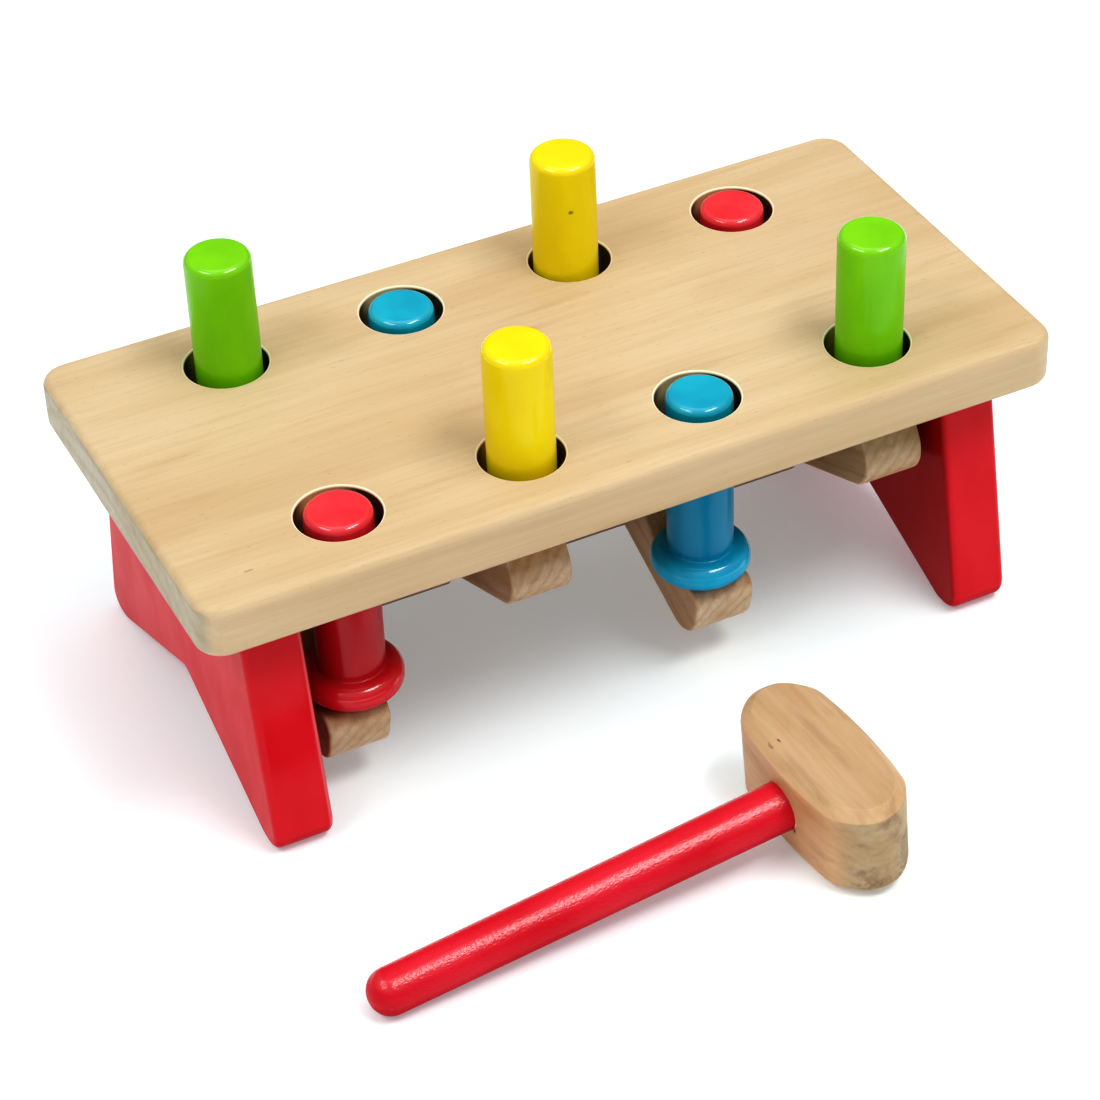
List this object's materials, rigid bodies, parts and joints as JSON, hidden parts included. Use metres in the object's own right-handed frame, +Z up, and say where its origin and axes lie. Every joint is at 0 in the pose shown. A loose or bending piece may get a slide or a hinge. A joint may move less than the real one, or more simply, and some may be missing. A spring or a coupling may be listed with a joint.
{
  "type": "peg pounding bench",
  "caption": "Wooden pounding toy: a board on splayed legs with coloured pegs in two rows, rocking levers below that lift a peg when its partner is knocked down, and a small mallet.",
  "frame": {"origin": "middle of the footprint of bench and hammer together, on the floor", "axes": "+X along the board to the right, +Y from the hammer in front towards the back of the bench, +Z up"},
  "size_m": [0.258, 0.216, 0.1255],
  "materials": {
    "beech": "satin clear lacquer",
    "lever_wood": "raw plywood-like brown wood",
    "spacer_wood": "raw",
    "dowel_wood": "raw",
    "head_wood": "satin clear lacquer",
    "red_paint": "gloss paint",
    "yellow_paint": "gloss paint",
    "green_paint": "gloss paint",
    "blue_paint": "gloss paint",
    "handle_paint": "gloss paint"
  },
  "bodies": {
    "bench": {"top_board": "beech", "left_leg": "red_paint", "right_leg": "red_paint", "left_leg_dowels": "dowel_wood", "right_leg_dowels": "dowel_wood", "pivot_rod": "dowel_wood", "left_spacer": "spacer_wood", "middle_spacer": "spacer_wood", "right_spacer": "spacer_wood"},
    "lever_1": {"lever_1": "lever_wood"},
    "lever_2": {"lever_2": "lever_wood"},
    "lever_3": {"lever_3": "lever_wood"},
    "lever_4": {"lever_4": "lever_wood"},
    "front_red_peg": {"front_red_peg": "red_paint"},
    "back_green_peg": {"back_green_peg": "green_paint"},
    "front_yellow_peg": {"front_yellow_peg": "yellow_paint"},
    "back_blue_peg": {"back_blue_peg": "blue_paint"},
    "front_blue_peg": {"front_blue_peg": "blue_paint"},
    "back_yellow_peg": {"back_yellow_peg": "yellow_paint"},
    "front_green_peg": {"front_green_peg": "green_paint"},
    "back_red_peg": {"back_red_peg": "red_paint"},
    "hammer": {"hammer_head": "head_wood", "hammer_handle": "handle_paint"}
  },
  "joints": [
    {"name": "lever_1_tilt", "type": "hinge", "parent": "bench", "child": "lever_1", "pos_m": [-0.08374, 0.04535, 0.0364], "axis": [-1, 0, 0], "range_deg": [0, 44.38]},
    {"name": "lever_2_tilt", "type": "hinge", "parent": "bench", "child": "lever_2", "pos_m": [-0.02685, 0.04535, 0.0364], "axis": [1, 0, 0], "range_deg": [0, 44.38]},
    {"name": "lever_3_tilt", "type": "hinge", "parent": "bench", "child": "lever_3", "pos_m": [0.02942, 0.04535, 0.0364], "axis": [-1, 0, 0], "range_deg": [0, 44.38]},
    {"name": "lever_4_tilt", "type": "hinge", "parent": "bench", "child": "lever_4", "pos_m": [0.08474, 0.04535, 0.0364], "axis": [1, 0, 0], "range_deg": [0, 44.38]},
    {"name": "front_red_peg_stroke", "type": "slide", "parent": "bench", "child": "front_red_peg", "axis": [0, 0, 1], "range_m": [0, 0.0346]},
    {"name": "back_green_peg_stroke", "type": "slide", "parent": "bench", "child": "back_green_peg", "axis": [0, 0, -1], "range_m": [0, 0.0346]},
    {"name": "front_yellow_peg_stroke", "type": "slide", "parent": "bench", "child": "front_yellow_peg", "axis": [0, 0, -1], "range_m": [0, 0.0346]},
    {"name": "back_blue_peg_stroke", "type": "slide", "parent": "bench", "child": "back_blue_peg", "axis": [0, 0, 1], "range_m": [0, 0.0346]},
    {"name": "front_blue_peg_stroke", "type": "slide", "parent": "bench", "child": "front_blue_peg", "axis": [0, 0, 1], "range_m": [0, 0.0346]},
    {"name": "back_yellow_peg_stroke", "type": "slide", "parent": "bench", "child": "back_yellow_peg", "axis": [0, 0, -1], "range_m": [0, 0.0346]},
    {"name": "front_green_peg_stroke", "type": "slide", "parent": "bench", "child": "front_green_peg", "axis": [0, 0, -1], "range_m": [0, 0.0346]},
    {"name": "back_red_peg_stroke", "type": "slide", "parent": "bench", "child": "back_red_peg", "axis": [0, 0, 1], "range_m": [0, 0.0346]},
    {"name": "hammer_lift", "type": "slide", "parent": "bench", "child": "hammer", "axis": [0, 0, 1], "range_m": [0, 0.16]}
  ],
  "couplings": [
    {"joint": "front_red_peg_stroke", "follows": "lever_1_tilt", "m_per_rad": 0.044669},
    {"joint": "back_green_peg_stroke", "follows": "lever_1_tilt", "m_per_rad": 0.044669},
    {"joint": "front_yellow_peg_stroke", "follows": "lever_2_tilt", "m_per_rad": 0.044669},
    {"joint": "back_blue_peg_stroke", "follows": "lever_2_tilt", "m_per_rad": 0.044669},
    {"joint": "front_blue_peg_stroke", "follows": "lever_3_tilt", "m_per_rad": 0.044669},
    {"joint": "back_yellow_peg_stroke", "follows": "lever_3_tilt", "m_per_rad": 0.044669},
    {"joint": "front_green_peg_stroke", "follows": "lever_4_tilt", "m_per_rad": 0.044669},
    {"joint": "back_red_peg_stroke", "follows": "lever_4_tilt", "m_per_rad": 0.044669}
  ]
}
